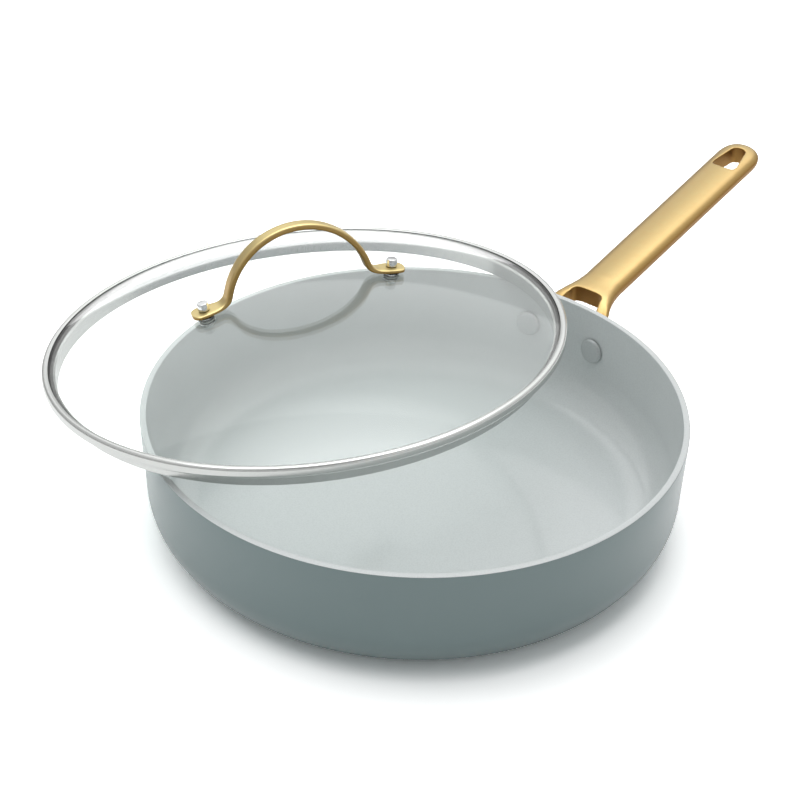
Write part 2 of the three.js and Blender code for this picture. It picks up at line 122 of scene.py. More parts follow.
def hand_over(piece, body, finishes, smooth=30):
    """Smooths a finished piece, gives it its materials, and lets it stand for the node of its name."""
    clear()
    piece.select_set(True)
    bpy.context.view_layer.objects.active = piece
    bpy.ops.object.shade_smooth_by_angle(angle=math.radians(smooth))
    for finish in finishes:
        piece.data.materials.append(finish)
    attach(piece, body)
    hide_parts(piece.name.removesuffix("_look"))
    print(piece.name, "faces:", len(piece.data.polygons))


# %% [markdown]
# Finishes are built from nodes. Colours are written as they look on a screen, and one function turns them
# to the linear values that Blender mixes. A second function adds a node with its settings and its links, so
# a material reads as a short list.


# %% Helpers for finishes
def colour(code):
    parts = [int(code[i : i + 2], 16) / 255 for i in (1, 3, 5)]
    linear = [p / 12.92 if p <= 0.04045 else ((p + 0.055) / 1.055) ** 2.4 for p in parts]
    return (*linear, 1)


def add(tree, kind, settings=None, inputs=None):
    made = tree.nodes.new(kind)
    for name, value in (settings or {}).items():
        setattr(made, name, value)
    for socket, value in (inputs or {}).items():
        if isinstance(value, bpy.types.NodeSocket):
            tree.links.new(value, made.inputs[socket])
        else:
            made.inputs[socket].default_value = value
    return made


def blank(name):
    finish = bpy.data.materials.new(name)
    finish.use_nodes = True
    finish.node_tree.nodes.clear()
    return finish, finish.node_tree


def per_metre(size):
    """How often a pattern of a size in millimetres repeats in a metre."""
    return 1000 / size


# %% [markdown]
# The outside of the pan is aluminium with a sprayed and baked satin coat, a blue-grey that goes pale where
# the wall turns away. The coat has the faint orange peel of sprayed paint, which the bump draws 1.2 mm
# wide, a little coarser than life so that it shows.

# %% Satin outer coat
satin_coat, tree = blank("sprayed_satin_coat")
spot = add(tree, "ShaderNodeTexCoord").outputs["Object"]
drift = add(tree, "ShaderNodeTexNoise", None, {"Vector": spot, "Scale": per_metre(90), "Detail": 2})
tones = add(tree, "ShaderNodeValToRGB", None, {"Fac": drift.outputs["Fac"]})
tones.color_ramp.elements[0].color = colour("#6e8485")
tones.color_ramp.elements[1].color = colour("#788d8e")
peel = add(tree, "ShaderNodeTexNoise", None, {"Vector": spot, "Scale": per_metre(1.2), "Detail": 3})
relief = {"Height": peel.outputs["Fac"], "Strength": 0.08, "Distance": mm(0.05)}
bump = add(tree, "ShaderNodeBump", None, relief)
coat_look = {
    "Base Color": tones.outputs["Color"],
    "Roughness": 0.4,
    "Metallic": 0.15,
    "Normal": bump.outputs["Normal"],
    "Coat Weight": 0.9,
    "Coat Roughness": 0.18,
}
shader = add(tree, "ShaderNodeBsdfPrincipled", None, coat_look)
add(tree, "ShaderNodeOutputMaterial", None, {"Surface": shader.outputs["BSDF"]})
print("finish:", satin_coat.name)

# %% [markdown]
# The inside is lined with pale ceramic, a glassy sol-gel film baked on a blasted base. It is smoother than
# the outside and carries a fine grey fleck, drawn about 0.8 mm wide.

# %% Ceramic lining
lining, tree = blank("baked_ceramic_lining")
spot = add(tree, "ShaderNodeTexCoord").outputs["Object"]
fleck = add(tree, "ShaderNodeTexNoise", None, {"Vector": spot, "Scale": per_metre(0.8), "Detail": 2})
tones = add(tree, "ShaderNodeValToRGB", None, {"Fac": fleck.outputs["Fac"]})
tones.color_ramp.elements[0].position = 0.3
tones.color_ramp.elements[0].color = colour("#c8cdcd")
tones.color_ramp.elements[1].position = 0.6
tones.color_ramp.elements[1].color = colour("#cfd4d4")
relief = {"Height": fleck.outputs["Fac"], "Strength": 0.02, "Distance": mm(0.04)}
bump = add(tree, "ShaderNodeBump", None, relief)
lining_look = {
    "Base Color": tones.outputs["Color"],
    "Roughness": 0.3,
    "Normal": bump.outputs["Normal"],
    "Coat Weight": 0.6,
    "Coat Roughness": 0.1,
}
shader = add(tree, "ShaderNodeBsdfPrincipled", None, lining_look)
add(tree, "ShaderNodeOutputMaterial", None, {"Surface": shader.outputs["BSDF"]})
print("finish:", lining.name)

# %% [markdown]
# The pan itself is one pressing: a flat base with a seat for its steel plate, a large round corner, a wall
# that is almost upright, and a flat land on the rim. The half section runs from the middle of the base,
# up the outside, over the rim and down the inside. Extra rings of edges beside the rivet holes keep the cut
# from creasing the wall. Faces that look up, or in toward the axis, get the lining.

# %% Pan body
RIM_R, PAN_H, RIM_LAND, RIM_EASE, WALL_DRAFT = 140, 65, 3.3, 0.5, 0.7
OUT_CORNER, IN_CORNER, FLOOR_T, FLOOR_RING = 26.6, 24, 5, 60
RING_LIFT, SEAT_EASE = 0.2, 0.2
PLATE_R, PLATE_T, PLATE_EASE, GAP = 100, 1, 0.3, 0.3
GRIP_AZ, RIVET_SPREAD, RIVET_Z = 52.6, 9.4, 41.5
RIVET_HOLE, RIVET_REACH, RIVET_ROWS = 3.3, 20, (-6, -4, 4, 6)
LOW_R = RIM_R - WALL_DRAFT
ROUND = 192


def wall_out(z):
    return LOW_R + WALL_DRAFT * (z - OUT_CORNER) / (PAN_H - OUT_CORNER)


def wall_in(z):
    return wall_out(z) - RIM_LAND


in_top = FLOOR_T + IN_CORNER
seat = PLATE_T + GAP
seat_r = PLATE_R + GAP
rivet_rows = [RIVET_Z + row for row in RIVET_ROWS]
section = [(0, seat), (seat_r, seat), (seat_r, RING_LIFT + SEAT_EASE), (seat_r + SEAT_EASE, RING_LIFT)]
section += arc(LOW_R - OUT_CORNER, RING_LIFT + OUT_CORNER, OUT_CORNER, -90, 0, 32)
section += [(wall_out(z), z) for z in rivet_rows]
section += arc(RIM_R - RIM_EASE, PAN_H - RIM_EASE, RIM_EASE, 0, 90, 5)
section += arc(RIM_R - RIM_LAND + RIM_EASE, PAN_H - RIM_EASE, RIM_EASE, 90, 180, 5)
section += [(wall_in(z), z) for z in reversed(rivet_rows)]
section += arc(wall_in(in_top) - IN_CORNER, in_top, IN_CORNER, 0, -90, 32)
section += [(FLOOR_RING, FLOOR_T), (0, FLOOR_T)]
pan = turned("pan_body_look", section, ROUND)


def on_wall(angle):
    """The frame of a rivet: on the axis at the rivets' height, Z pointing out at an angle."""
    turn = Matrix.Rotation(math.radians(GRIP_AZ + angle), 4, "Z")
    return turn @ Matrix.Translation(mm(0, 0, RIVET_Z)) @ Matrix.Rotation(math.pi / 2, 4, "Y")


for side in (-1, 1):
    at_rim = on_wall(side * RIVET_SPREAD) @ Matrix.Translation(mm(0, 0, RIM_R))
    drill(pan, at_rim, RIVET_HOLE, RIVET_REACH)
hand_over(pan, "pan", [satin_coat, lining])
for face in pan.data.polygons:
    out = Vector((face.center.x, face.center.y, 0)).normalized()
    floor = face.normal.z > 0.5
    inward = face.normal.dot(out) < -0.2
    face.material_index = 1 if floor or inward else 0

# %% [markdown]
# Pressed into the base is a disc of stainless steel, which lets the pan heat on an induction hob. It was
# spun smooth, and fine rings 1.5 mm apart show where the tool ran.

# %% Base plate
spun_steel, tree = blank("spun_stainless_steel")
spot = add(tree, "ShaderNodeTexCoord").outputs["Object"]
rings_look = {"Vector": spot, "Scale": per_metre(1.5) * math.pi / 10, "Distortion": 0.3}
rings = add(tree, "ShaderNodeTexWave", {"wave_type": "RINGS", "rings_direction": "Z"}, rings_look)
relief = {"Height": rings.outputs["Fac"], "Strength": 0.15, "Distance": mm(0.05)}
bump = add(tree, "ShaderNodeBump", None, relief)
spun_look = {
    "Base Color": colour("#b9bbb9"),
    "Metallic": 1,
    "Roughness": 0.33,
    "Normal": bump.outputs["Normal"],
}
shader = add(tree, "ShaderNodeBsdfPrincipled", None, spun_look)
add(tree, "ShaderNodeOutputMaterial", None, {"Surface": shader.outputs["BSDF"]})
plate_in = PLATE_R - PLATE_EASE
section = [(0, PLATE_T), (plate_in, PLATE_T), (PLATE_R, PLATE_T - PLATE_EASE), (PLATE_R, PLATE_EASE)]
section += [(plate_in, 0), (0, 0)]
plate = turned("base_plate_look", section, ROUND)
hand_over(plate, "pan", [spun_steel])

# %% [markdown]
# The handle is a zinc casting with a champagne gold finish. The polish reached its top and its underside,
# and left the side walls rougher. Tone and roughness both follow the way a face points, by the Z of its
# normal: the browner side walls are painted shade, and the paler top and underside are painted highlight
# and painted reflection. A mottle 4 mm wide breaks up the change from one tone to the next.

# %% Champagne gold casting
MOTTLE = 0.12
cast_gold, tree = blank("champagne_gold_casting")
place_in = add(tree, "ShaderNodeTexCoord").outputs["Object"]
facing = add(tree, "ShaderNodeNewGeometry").outputs["Normal"]
upright = add(tree, "ShaderNodeSeparateXYZ", None, {"Vector": facing}).outputs["Z"]
mottle = add(tree, "ShaderNodeTexNoise", None, {"Vector": place_in, "Scale": per_metre(4), "Detail": 6})
swing = {0: mottle.outputs["Fac"], 1: MOTTLE, 2: upright}
mottled_facing_shade = add(tree, "ShaderNodeMath", {"operation": "MULTIPLY_ADD"}, swing).outputs[0]
faces = {"Value": mottled_facing_shade, "From Min": MOTTLE / 2 - 1, "From Max": MOTTLE / 2 + 1}
turn = add(tree, "ShaderNodeMapRange", None, faces).outputs["Result"]
# Painted shade and highlight: this ramp darkens the side walls and lightens the top and underside by facing.
shade = add(tree, "ShaderNodeValToRGB", None, {"Fac": turn})
shade.color_ramp.elements[0].color = colour("#bda36d")
shade.color_ramp.elements[1].color = colour("#b59f6e")
painted_side_shade = ((0.2, "#a07c45"), (0.6, "#a07a42"), (0.76, "#ab8549"))
painted_top_highlight = ((0.9, "#ad9059"), (0.965, "#b69b69"))
for at, tone in painted_side_shade + painted_top_highlight:
    shade.color_ramp.elements.new(at).color = colour(tone)
level = add(tree, "ShaderNodeMath", {"operation": "ABSOLUTE"}, {0: upright}).outputs[0]
walls = {"Value": level, "From Min": 0.6, "From Max": 0.25}
raw = add(tree, "ShaderNodeMapRange", {"interpolation_type": "SMOOTHSTEP"}, walls).outputs["Result"]
grain = add(tree, "ShaderNodeTexNoise", None, {"Vector": place_in, "Scale": per_metre(1.5), "Detail": 4})
rough = add(tree, "ShaderNodeMapRange", None, {"Value": raw, "To Min": 0.3, "To Max": 0.48}).outputs["Result"]
depth = add(tree, "ShaderNodeMapRange", None, {"Value": raw, "To Min": 0.1, "To Max": 0.45})
relief = {"Height": grain.outputs["Fac"], "Strength": depth.outputs["Result"], "Distance": mm(0.25)}
bump = add(tree, "ShaderNodeBump", None, relief)
cast_look = {
    "Base Color": shade.outputs["Color"],
    "Metallic": 0.85,
    "Roughness": rough,
    "Normal": bump.outputs["Normal"],
}
shader = add(tree, "ShaderNodeBsdfPrincipled", None, cast_look)
add(tree, "ShaderNodeOutputMaterial", None, {"Surface": shader.outputs["BSDF"]})
print("finish:", cast_gold.name)

# %% [markdown]
# A cast piece has no sharp inner corners: metal fills them. So a copy of the CAD solid is merged and remade
# as a fine even skin, 0.5 mm to a face. Smoothing can then round every edge and give the fork its fillets,
# which a bevel could not do where so many curved faces meet.

# %% Pan handle
SKIN = 0.5
clear()
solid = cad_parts["pan_handle"]
handle = bpy.data.objects.new("pan_handle_look", solid.data.copy())
bpy.context.collection.objects.link(handle)
handle.select_set(True)
bpy.context.view_layer.objects.active = handle
bpy.ops.object.mode_set(mode="EDIT")
bpy.ops.mesh.select_all(action="SELECT")
bpy.ops.mesh.remove_doubles(threshold=mm(MERGE))
bpy.ops.object.mode_set(mode="OBJECT")
handle.data.materials.clear()
skin = handle.modifiers.new("skin", "REMESH")
skin.mode = "VOXEL"
skin.voxel_size = mm(SKIN)
bpy.ops.object.modifier_apply(modifier="skin")
print("skin faces:", len(handle.data.polygons))

# %% [markdown]
# The outer edges of the grip are well rounded, and those of the fork and the hang hole are crisper. A vertex
# group leaves these out of the long smoothing, and a short one then goes over the whole skin. Last, the top
# of the grip is raised along its middle and lowered at its sides, by a parabola, to a soft crown.

# %% Edges of the handle
GRIP_SLOPE, WEB, FORK_HALF, FORK_FLARE = 9.98, 164.3, 10.2, 0.29
HANG_NEAR, HANG_FAR, HANG_HALF, KEEP = 312.8, 336.4, 7.8, 2.5
FORK_BEND, ROOT_KEEP, EDGE_PASSES, SKIN_PASSES = 5, 8, 18, 3
across = Matrix.Rotation(math.radians(-GRIP_AZ), 4, "Z")
crown = handle.vertex_groups.new(name="crown")
soft = []
for vertex in handle.data.vertices:
    spot = across @ vertex.co * 1000
    x, y = spot.x / math.cos(math.radians(GRIP_SLOPE)), abs(spot.y)
    at_fork = x < WEB + KEEP and y < FORK_HALF + KEEP + max(WEB - FORK_BEND - x, 0) * FORK_FLARE
    at_hole = HANG_NEAR - KEEP < x < HANG_FAR + KEEP and y < HANG_HALF + KEEP
    if x > RIM_R + ROOT_KEEP and not at_fork and not at_hole:
        soft.append(vertex.index)
crown.add(soft, 1, "REPLACE")
for group, passes in (("crown", EDGE_PASSES), ("", SKIN_PASSES)):
    ease = handle.modifiers.new("ease", "SMOOTH")
    ease.vertex_group = group
    ease.factor = 0.5
    ease.iterations = passes
    bpy.ops.object.modifier_apply(modifier="ease")
print("crown vertices:", len(soft))

# %% Crown of the handle
CROWN_UP, CROWN_DOWN, FORK_DOWN, WEB_X = 0.8, 1.3, 4.2, 161.8
CROWN_HALF, CROWN_DEEP, CROWN_LEAD, CROWN_RUN = 10, 8, 5, 20
for vertex in handle.data.vertices:
    spot = across @ vertex.co * 1000
    top = PAN_H - FORK_DOWN + (spot.x - WEB_X) * math.tan(math.radians(GRIP_SLOPE))
    high = min(max((spot.z - top + CROWN_DEEP) / CROWN_DEEP, 0), 1)
    grip = min(max((spot.x - WEB_X + CROWN_LEAD) / CROWN_RUN, 0), 1)
    vertex.co.z += mm(high * grip * (CROWN_UP - CROWN_DOWN * (spot.y / CROWN_HALF) ** 2))
hand_over(handle, "pan", [cast_gold], smooth=60)

# %% [markdown]
# Two rivets hold the handle. Their broad flat heads inside the wall are sprayed with the same lining, a
# touch greyer, and their tails are formed against the flange.

# %% Rivets
rivet_coat = lining.copy()
rivet_coat.name = "sprayed_rivet_coat"
ramp = next(n for n in rivet_coat.node_tree.nodes if n.type == "VALTORGB").color_ramp
ramp.elements[0].color = colour("#b2b8b8")
ramp.elements[1].color = colour("#babfbf")
HEAD_R, HEAD_T, HEAD_EASE, HEAD_FLAT, HEAD_CROWN = 7.3, 2, 1.5, 3, 0.2
SHANK_R, FLANGE_T, TAIL_R, TAIL_T, TAIL_EASE = 3, 5.5, 5.2, 1.8, 1
SMALL_ROUND = 48
head_seat = wall_in(RIVET_Z) - 2 * GAP
head_top = head_seat - HEAD_T
tail = RIM_R + FLANGE_T + GAP
section = [(0, head_top), (HEAD_FLAT, head_top + HEAD_CROWN / 4)]
section += arc(HEAD_R - HEAD_EASE, head_top + HEAD_CROWN + HEAD_EASE, HEAD_EASE, -90, 0, 8)
section += [(HEAD_R, head_seat), (SHANK_R, head_seat), (SHANK_R, tail), (TAIL_R, tail)]
section += arc(TAIL_R - TAIL_EASE, tail + TAIL_T - TAIL_EASE, TAIL_EASE, 0, 90, 6)
section += [(0, tail + TAIL_T)]
for side, word in ((-1, "right"), (1, "left")):
    rivet = turned(f"handle_rivet_{word}_look", section, SMALL_ROUND)
    place(rivet, on_wall(side * RIVET_SPREAD))
    hand_over(rivet, "pan", [rivet_coat])

# %% [markdown]
# The lid leans across the rim. Its own frame has the origin at the middle of the band's top edge and Z
# along its axis. The tilt and the direction are the CAD model's, and the height comes from the lowest point
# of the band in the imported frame.

# %% The lid's frame
LID_AZ, LID_SHIFT, LID_TILT = 141.55, 77.7, 7.14
BAND_R, BAND_SHEET, BAND_FLANGE, BAND_EASE, BAND_ROLL, BAND_CURL = 140, 0.7, 3.5, 1.9, 5.4, 1.8
LIP_R, LIP_BEND, LIP_DEEP, BAND_CREST, FLANGE_SLOPE = 133.1, 1, 12.9, 0.45, 7
tilt = math.radians(LID_TILT)
band_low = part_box("lid_band")[0].z * 1000
lid_z = band_low + LIP_DEEP * math.cos(tilt) + LIP_R * math.sin(tilt)
lid_turn = Matrix.Rotation(math.radians(LID_AZ), 4, "Z")
lid_spot = lid_turn @ Vector(mm(LID_SHIFT, 0, lid_z))
lid_frame = Matrix.Translation(lid_spot) @ lid_turn @ Matrix.Rotation(tilt, 4, "Y")
print("lid origin, mm:", [round(1000 * v, 2) for v in lid_spot])

# %% [markdown]
# The dome is a shallow cap of clear tempered glass, 3 mm thick, cut from a ball of 367 mm radius. Glass lets
# light through to what it covers, so for shadow rays a plain see-through shader takes its place.

# %% Glass
GLASS_SPHERE, GLASS_T, GLASS_R, GLASS_DOWN = 367, 3, 138.7, 1.15
SPHERE_Z = -GLASS_DOWN - math.sqrt(GLASS_SPHERE**2 - GLASS_R**2)


def glass_out(r):
    return SPHERE_Z + math.sqrt(GLASS_SPHERE**2 - r * r)


def glass_in(r):
    return SPHERE_Z + math.sqrt((GLASS_SPHERE - GLASS_T) ** 2 - r * r)


clear_glass, tree = blank("clear_tempered_glass")
spot = add(tree, "ShaderNodeTexCoord").outputs["Object"]
wave = add(tree, "ShaderNodeTexNoise", None, {"Vector": spot, "Scale": per_metre(45), "Detail": 1})
relief = {"Height": wave.outputs["Fac"], "Strength": 0.02, "Distance": mm(0.3)}
bump = add(tree, "ShaderNodeBump", None, relief)
glass_look = {
    "Base Color": colour("#fafcfb"),
    "Roughness": 0,
    "IOR": 1.52,
    "Transmission Weight": 1,
    "Normal": bump.outputs["Normal"],
}
shader = add(tree, "ShaderNodeBsdfPrincipled", None, glass_look)
through = add(tree, "ShaderNodeBsdfTransparent", None, {"Color": colour("#f2f6f5")})
rays = add(tree, "ShaderNodeLightPath")
mix = {0: rays.outputs["Is Shadow Ray"], 1: shader.outputs["BSDF"], 2: through.outputs["BSDF"]}
both = add(tree, "ShaderNodeMixShader", None, mix)
add(tree, "ShaderNodeOutputMaterial", None, {"Surface": both.outputs["Shader"]})
print("finish:", clear_glass.name)

# %% [markdown]
# Both faces of the dome are arcs round one centre, so the glass is equally thick all over. Its edge is ground
# to a small chamfer. The two holes for the fixings are drilled square to the glass, each in a frame of its
# own, which the bar, the nuts and the rings use as well.

# %% Lid glass
GLASS_STEPS, GLASS_EDGE = 24, 0.6
BAR_AZ, PIN_R, FIXING_HOLE, FIXING_REACH = 62.3, 51.9, 2.8, 12
radii = [GLASS_R * i / GLASS_STEPS for i in range(GLASS_STEPS + 1)]
section = [(r, glass_in(r)) for r in radii[:-1]]
ground = GLASS_R - GLASS_EDGE
section += [(ground, glass_in(ground)), (GLASS_R, glass_in(GLASS_R) + GLASS_EDGE)]
section += [(GLASS_R, glass_out(GLASS_R) - GLASS_EDGE), (ground, glass_out(ground))]
section += [(r, glass_out(r)) for r in reversed(radii[:-1])]
glass = turned("lid_glass_look", section, ROUND)
PIN_LEAN = math.asin(PIN_R / GLASS_SPHERE)
bar_turn = Matrix.Rotation(math.radians(BAR_AZ), 4, "Z")


def fixing(side):
    """The frame of one fixing: origin on the glass, Z square to it."""
    spot = Matrix.Translation(mm(side * PIN_R, 0, glass_out(PIN_R)))
    return lid_frame @ bar_turn @ spot @ Matrix.Rotation(side * PIN_LEAN, 4, "Y")


place(glass, lid_frame)
for side in (-1, 1):
    drill(glass, fixing(side), FIXING_HOLE, FIXING_REACH)
hand_over(glass, "lid", [clear_glass])

# %% [markdown]
# A band of thin stainless steel is rolled round the glass edge. It has a narrow bright flange on top, a
# rounded outer wall, and a lip that drops inside the pan when the lid is on. The mill leaves it satin bright,
# with faint lines that follow the roll.

# %% Rolled band
bright_steel, tree = blank("rolled_stainless_steel")
spot = add(tree, "ShaderNodeTexCoord").outputs["Object"]
centred = {"Vector": spot, "Location": lid_spot, "Rotation": lid_frame.to_euler()}
own = add(tree, "ShaderNodeMapping", {"vector_type": "TEXTURE"}, centred)
flat = {"Vector": own.outputs["Vector"], "Scale": (per_metre(40), per_metre(40), per_metre(0.6))}
along = add(tree, "ShaderNodeMapping", None, flat)
lines = add(tree, "ShaderNodeTexNoise", None, {"Vector": along.outputs["Vector"], "Scale": 1, "Detail": 3})
rough = add(tree, "ShaderNodeMapRange", None, {"Value": lines.outputs["Fac"], "To Min": 0.18, "To Max": 0.3})
band_look = {
    "Base Color": colour("#d4d6d4"),
    "Metallic": 1,
    "Roughness": rough.outputs["Result"],
}
shader = add(tree, "ShaderNodeBsdfPrincipled", None, band_look)
add(tree, "ShaderNodeOutputMaterial", None, {"Surface": shader.outputs["BSDF"]})
print("finish:", bright_steel.name)

# %% [markdown]
# The band's inner shelf, under the glass, is painted dark: painted shade of the gap below the flange. It
# shows through the glass as a dark line, and it is dull.

# %% Painted shade on the band's shelf
shelf_shade, tree = blank("painted_shade_shelf")
spot = add(tree, "ShaderNodeTexCoord").outputs["Object"]
shelf_grain = add(tree, "ShaderNodeTexNoise", None, {"Vector": spot, "Scale": per_metre(1.5), "Detail": 2})
rough = add(tree, "ShaderNodeMapRange", None, {"Value": shelf_grain.outputs["Fac"], "To Min": 0.4, "To Max": 0.6})
shelf_shade_look = {"Base Color": colour("#302f2d"), "Roughness": rough.outputs["Result"], "IOR": 1.41}
shader = add(tree, "ShaderNodeBsdfPrincipled", None, shelf_shade_look)
add(tree, "ShaderNodeOutputMaterial", None, {"Surface": shader.outputs["BSDF"]})
print("finish:", shelf_shade.name)

# %% [markdown]
# The band's section is one closed line: up from its cut edge on the glass, over a crest that rises to the
# outside, down the rolled wall, in along the seat that lies on the rim, and down and back up the lip. Thin
# sheet bends to small radii, so each bend is an arc.

# %% Lid band
CUT_LOW, CUT_RUN, CUT_TOP, LIP_EASE, SHELF_DOWN = 0.08, 0.1, 0.14, 0.2, 1
edge_in = BAND_R - BAND_FLANGE
over = glass_out(edge_in) + GAP
under = glass_in(GLASS_R) - GAP
shell = BAND_R - BAND_SHEET
lip_in = LIP_R - BAND_SHEET
lip_low = -LIP_DEEP + LIP_EASE
section = [(edge_in, over), (edge_in, over + CUT_LOW), (edge_in + CUT_RUN, over + CUT_TOP)]
section += arc(BAND_R - BAND_EASE, BAND_CREST - BAND_EASE, BAND_EASE, 90 + FLANGE_SLOPE, 0, 10)
section += arc(BAND_R - BAND_CURL, BAND_CURL - BAND_ROLL, BAND_CURL, 0, -90, 10)
section += arc(LIP_R + LIP_BEND, -BAND_ROLL - LIP_BEND, LIP_BEND, 90, 180, 6)
section += [(LIP_R, lip_low), (LIP_R - LIP_EASE, -LIP_DEEP), (lip_in + LIP_EASE, -LIP_DEEP)]
section += [(lip_in, lip_low), (lip_in, -BAND_ROLL), (lip_in + LIP_BEND, under)]
section += [(shell, under), (shell, GAP - GLASS_DOWN), (edge_in, over)]
band = turned("lid_band_look", section, ROUND)
# Painted shade: the flat shelf faces below the glass take the dark finish.
for face in band.data.polygons:
    shelf = face.normal.z > 0.9 and face.center.z < mm(over - SHELF_DOWN)
    face.material_index = 1 if shelf else 0
place(band, lid_frame)
hand_over(band, "lid", [bright_steel, shelf_shade])

# %% [markdown]
# The lid handle is a flat bar with rounded corners, bent to a round arch and forged broad and thin at its
# feet. Its gold is brushed along the bar, with strokes 0.5 mm apart. Its tone follows the way a face points:
# painted shade makes faces that look down deepest in tone, and a painted highlight makes the top palest.

# %% Brushed gold
brushed_gold, tree = blank("brushed_champagne_gold")
spot = add(tree, "ShaderNodeTexCoord").outputs["Object"]
turned_to = (lid_frame @ bar_turn).to_euler()
own = add(tree, "ShaderNodeMapping", {"vector_type": "TEXTURE"}, {"Vector": spot, "Rotation": turned_to})
strokes = {"Vector": own.outputs["Vector"], "Scale": (per_metre(12), per_metre(0.5), per_metre(12))}
along = add(tree, "ShaderNodeMapping", None, strokes)
brush = add(tree, "ShaderNodeTexNoise", None, {"Vector": along.outputs["Vector"], "Scale": 1, "Detail": 2})
rough = add(tree, "ShaderNodeMapRange", None, {"Value": brush.outputs["Fac"], "To Min": 0.3, "To Max": 0.44})
facing = add(tree, "ShaderNodeNewGeometry").outputs["Normal"]
height = add(tree, "ShaderNodeSeparateXYZ", None, {"Vector": facing}).outputs["Z"]
facing_shade = add(tree, "ShaderNodeMapRange", None, {"Value": height, "From Min": -0.6, "From Max": 0.9})
# Painted shade and highlight: dark brown on faces that look down, pale gold on top.
shade = add(tree, "ShaderNodeValToRGB", None, {"Fac": facing_shade.outputs["Result"]})
shade.color_ramp.elements[0].color = colour("#8a7240")
shade.color_ramp.elements[1].color = colour("#dcc98f")
for at, tone in ((0.4, "#a07d45"), (0.62, "#c9ad74")):
    shade.color_ramp.elements.new(at).color = colour(tone)
brushed_look = {
    "Base Color": shade.outputs["Color"],
    "Metallic": 0.95,
    "Roughness": rough.outputs["Result"],
}
shader = add(tree, "ShaderNodeBsdfPrincipled", None, brushed_look)
add(tree, "ShaderNodeOutputMaterial", None, {"Surface": shader.outputs["BSDF"]})
print("finish:", brushed_gold.name)

# %% [markdown]
# A bar like this is drawn by its centre line. Half of it runs from the tip of a pad, along the pad, round the
# heel and up into the arch, and the other half is its mirror image. The steps are short where the line turns
# or the width changes fast.

# %% The bar's centre line
BAR_W, BAR_T, ARCH_R, ARCH_TOP, ARCH_END = 7.6, 3.4, 39.9, 61, 15.5
PAD_W, PAD_T, PAD_OVER, PAD_IN, PAD_SWELL, SEAL_T = 12.6, 2.1, 7, 6.6, 8, 0.9
TIP_RUN, TIP_BLUNT, PAD_STEPS = 4.5, 2.4, (-1, -4)
foot = GAP + SEAL_T + GAP + PAD_T / 2
pad_x = PIN_R + math.sin(PIN_LEAN) * foot
pad_z = glass_out(PIN_R) + math.cos(PIN_LEAN) * foot


def along_pad(d):
    return Vector((pad_x + math.cos(PIN_LEAN) * d, pad_z - math.sin(PIN_LEAN) * d))


arch = [Vector(p) for p in arc(0, ARCH_TOP - ARCH_R, ARCH_R, ARCH_END, 90, 20)]
end = math.radians(ARCH_END)
rise = (arch[0].x - pad_x) * math.sin(PIN_LEAN) + (arch[0].y - pad_z) * math.cos(PIN_LEAN)
knee = arch[0] + Vector((math.sin(end), -math.cos(end))) * rise / math.cos(end + PIN_LEAN)
heel = along_pad(-PAD_IN)
bend = [heel.lerp(knee, t).lerp(knee.lerp(arch[0], t), t) for t in (i / 12 for i in range(13))]
tip_turns = [math.radians(a) for a in (8, 20, 34, 48, 62, 76, 90)]
tip = [along_pad(PAD_OVER - TIP_RUN * (1 - math.cos(a))) for a in tip_turns]
half = [*tip, *(along_pad(d) for d in PAD_STEPS), *bend, *arch[1:]]
line = half + [Vector((-p.x, p.y)) for p in reversed(half[:-1])]
print("stations on the bar:", len(line))

# %% [markdown]
# The section starts as a round ring, squared until only its corners are round. It is pushed along the centre
# line one step at a time. At each step it is turned to the line's new direction and scaled to the width and
# thickness there. The tips are blunt, so the width grows fast over the first few millimetres.


# %% Sizes along the bar
def eased(value, start, stop):
    share = min(max((value - start) / (stop - start), 0), 1)
    return share * share * (3 - 2 * share)


def bar_size(run):
    """Width and thickness of the bar at a distance from the tip of its pad."""
    round_end = min(run / TIP_RUN, 1)
    pad = PAD_W * (1 - (1 - round_end) ** TIP_BLUNT) ** (1 / TIP_BLUNT)
    width = pad + (BAR_W - pad) * eased(run, PAD_OVER, PAD_OVER + PAD_IN + PAD_SWELL)
    swell = eased(run, PAD_OVER + PAD_IN, PAD_OVER + PAD_IN + PAD_SWELL)
    return width, PAD_T + (BAR_T - PAD_T) * swell


runs = [TIP_RUN * (1 - math.cos(tip_turns[0]))]
for a, b in zip(half, half[1:]):
    runs.append(runs[-1] + (b - a).length)
sizes = [bar_size(run) for run in runs]
sizes += reversed(sizes[:-1])
print("widest, mm:", round(max(size[0] for size in sizes), 2))


def heading(i):
    step = line[min(i + 1, len(line) - 1)] - line[max(i - 1, 0)]
    return math.atan2(-step.y, -step.x)


# %% Lid handle
BAR_SQUARE = 6
clear()
start = mm(line[0].x, 0, line[0].y)
bpy.ops.mesh.primitive_circle_add(vertices=32, radius=0.5, fill_type="NGON", rotation=(0, math.pi / 2, 0))
bar = bpy.context.object
bar.name = "lid_handle_look"
bpy.ops.object.transform_apply(location=True, rotation=True, scale=True)
for vertex in bar.data.vertices:
    wide, deep = abs(2 * vertex.co.y), abs(2 * vertex.co.z)
    vertex.co /= (wide**BAR_SQUARE + deep**BAR_SQUARE) ** (1 / BAR_SQUARE)
bpy.ops.object.mode_set(mode="EDIT")
bpy.ops.mesh.select_all(action="SELECT")
width, thick = sizes[0]
bpy.ops.transform.resize(value=(1, mm(width), mm(thick)), center_override=(0, 0, 0))
bpy.ops.transform.rotate(value=heading(0), orient_axis="Y", center_override=(0, 0, 0))
bpy.ops.transform.translate(value=start)
